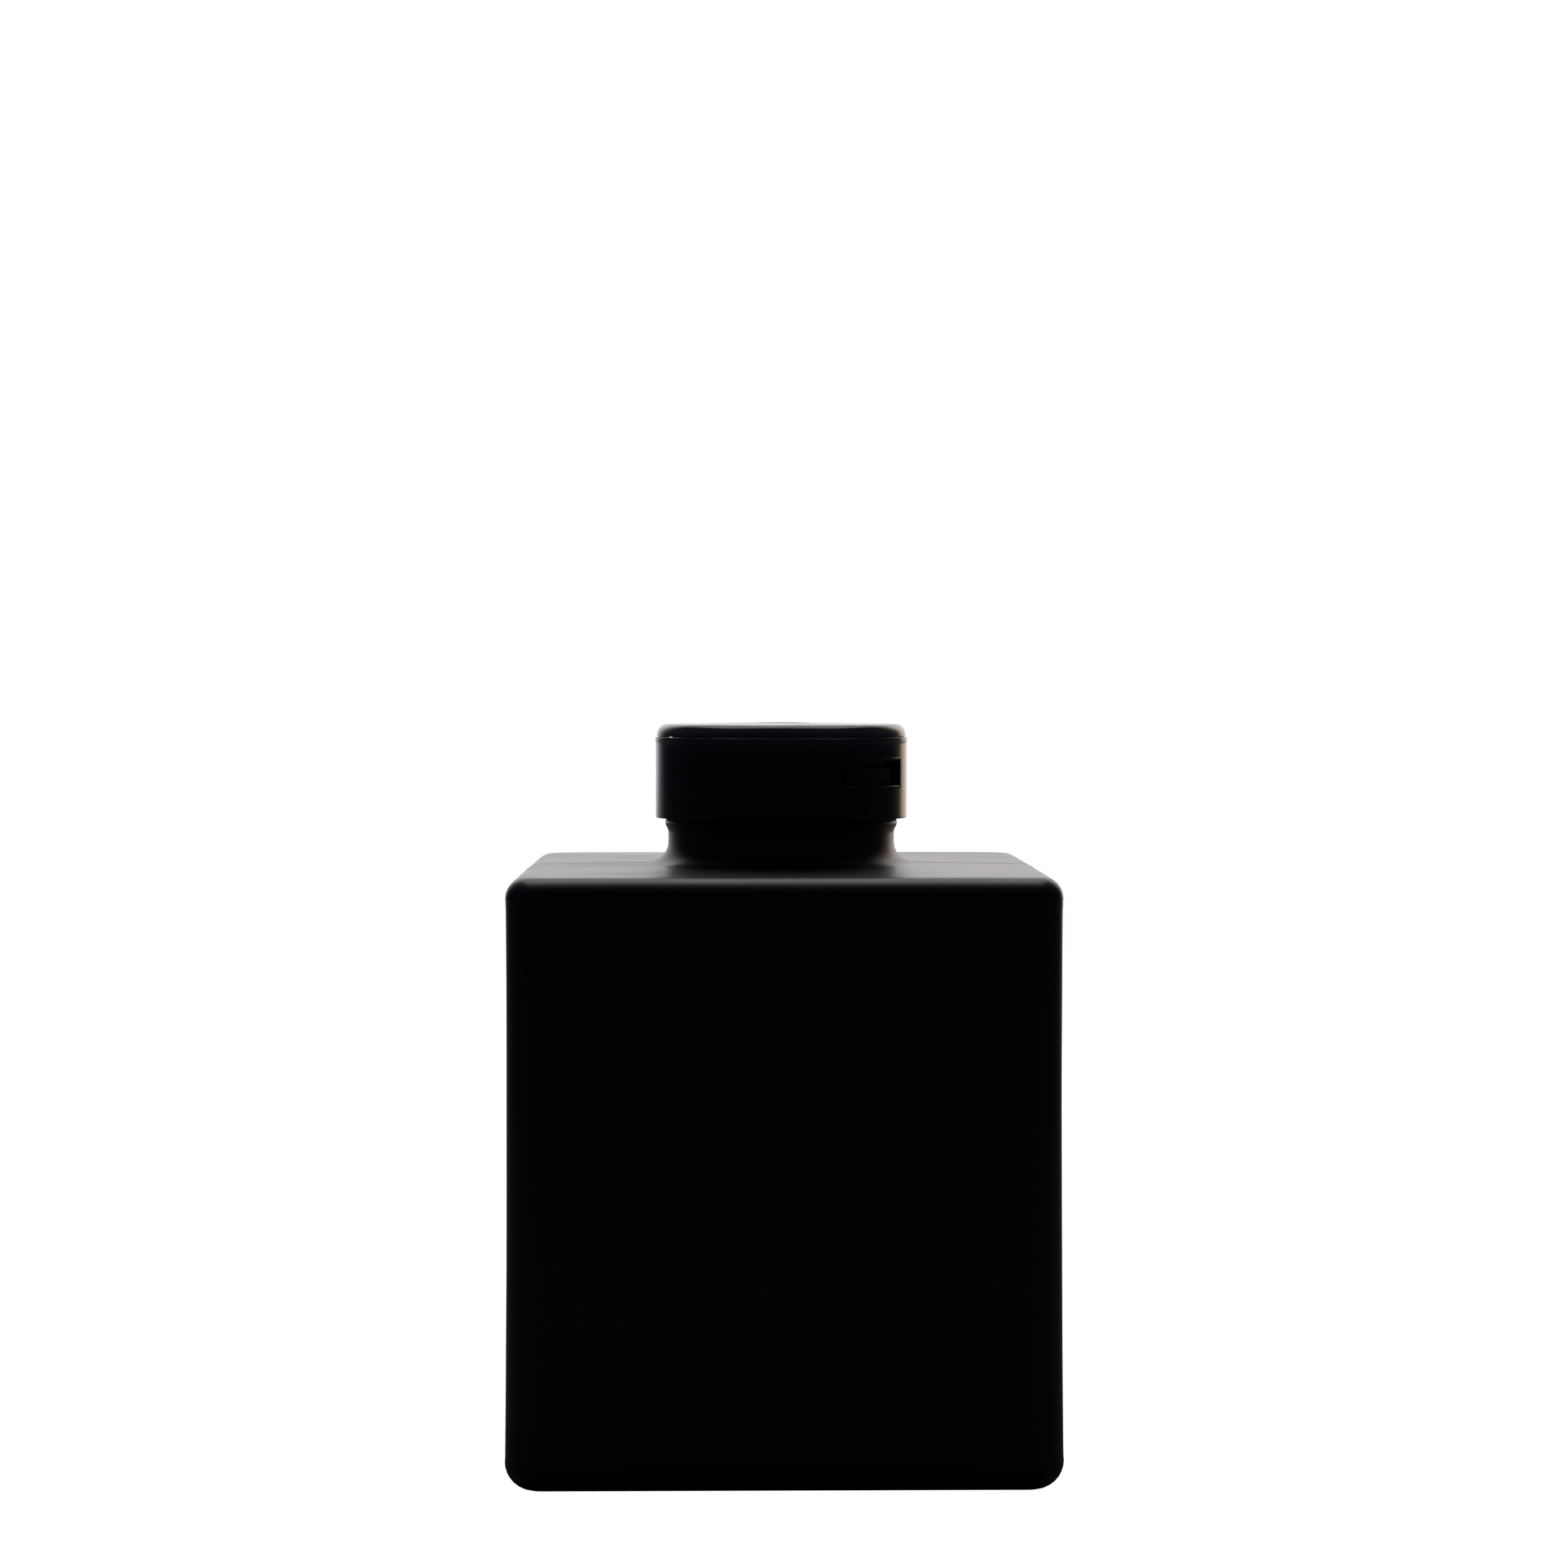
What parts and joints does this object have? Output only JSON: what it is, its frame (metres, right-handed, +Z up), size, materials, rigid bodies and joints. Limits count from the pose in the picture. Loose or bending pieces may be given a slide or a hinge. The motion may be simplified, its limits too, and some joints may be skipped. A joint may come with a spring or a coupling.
{
  "type": "square jar with flip-top screw cap",
  "caption": "Squat square matte black plastic jar with rounded edges, short round neck and a low screw cap whose lid flips open by a push button.",
  "frame": {"origin": "middle of the base, on the surface that the jar stands on", "axes": "+Z up through the neck, -Y the jar's front face, +X to the right of it"},
  "size_m": [0.0838, 0.0838, 0.1144],
  "materials": {
    "jar_plastic": "blow-moulded polyethylene in midnight black with a soft matte skin",
    "cap_plastic": "injection-moulded polypropylene in midnight black, fine satin texture",
    "button_plastic": "injection-moulded polypropylene, smooth satin",
    "liner_foam": "closed-cell white polyethylene foam wad",
    "seal_rubber": "soft dark grey elastomer",
    "spring_steel": "bright drawn stainless wire and strip"
  },
  "bodies": {
    "jar": {"jar_body": "jar_plastic"},
    "liner": {"cap_liner": "liner_foam"},
    "cap": {"cap_base": "cap_plastic", "hinge_pin": "spring_steel", "lid_spring": "spring_steel", "button_spring": "spring_steel"},
    "lid": {"lid": "cap_plastic", "lid_seal": "seal_rubber"},
    "button": {"press_button": "button_plastic"}
  },
  "joints": [
    {"name": "cap_lift", "type": "slide", "parent": "jar", "child": "liner", "axis": [0, 0, 1], "range_m": [0, 0.00847]},
    {"name": "cap_turn", "type": "hinge", "parent": "liner", "child": "cap", "pos_m": [0, 0, 0.105], "axis": [0, 0, 1], "range_deg": [0, 720]},
    {"name": "lid_flip", "type": "hinge", "parent": "cap", "child": "lid", "pos_m": [-0.01338, 0.01248, 0.1117], "axis": [-0.682, -0.7314, 0], "range_deg": [0, 110], "deforming": ["lid_spring"]},
    {"name": "button_press", "type": "slide", "parent": "cap", "child": "button", "axis": [-0.7314, 0.682, 0], "range_m": [0, 0.0007], "stiffness_N_per_m": 1500, "springref_m": -0.0004, "deforming": ["button_spring"]}
  ],
  "couplings": [
    {"joint": "cap_lift", "follows": "cap_turn", "m_per_rad": 0.0006737}
  ]
}
